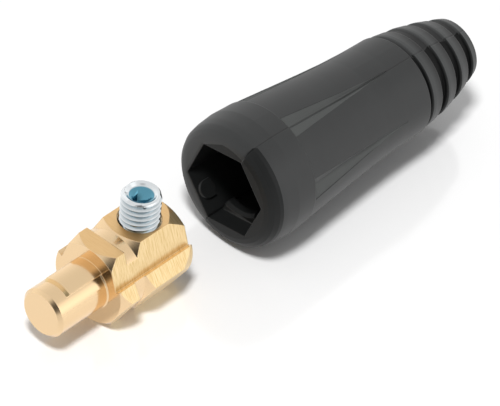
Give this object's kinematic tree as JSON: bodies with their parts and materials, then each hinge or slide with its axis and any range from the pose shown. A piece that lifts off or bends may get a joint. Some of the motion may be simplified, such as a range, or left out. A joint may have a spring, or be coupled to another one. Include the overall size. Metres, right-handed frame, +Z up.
{
  "type": "welding cable plug",
  "caption": "Welding cable plug taken apart: hexagonal brass contact with pin and socket-head clamp screw, beside its ribbed rubber sleeve.",
  "frame": {"origin": "middle of the overall box, on the floor both halves lie on", "axes": "+X along the contact's axis from the tip of its pin towards the conductor end, +Z up along the clamp screw, +Y to the left seen along +X"},
  "size_m": [0.1446, 0.0348, 0.0348],
  "materials": {
    "rubber": "matte moulded",
    "brass": "turned and milled, bright",
    "zinc_steel": "bright zinc plated"
  },
  "bodies": {
    "plug": {"contact": "brass", "sleeve": "rubber"},
    "screw": {"clamp_screw": "zinc_steel"}
  },
  "joints": [
    {"name": "screw_drive", "type": "slide", "parent": "plug", "child": "screw", "axis": [0, 0, -1], "range_m": [-0.003, 0.0098]}
  ]
}
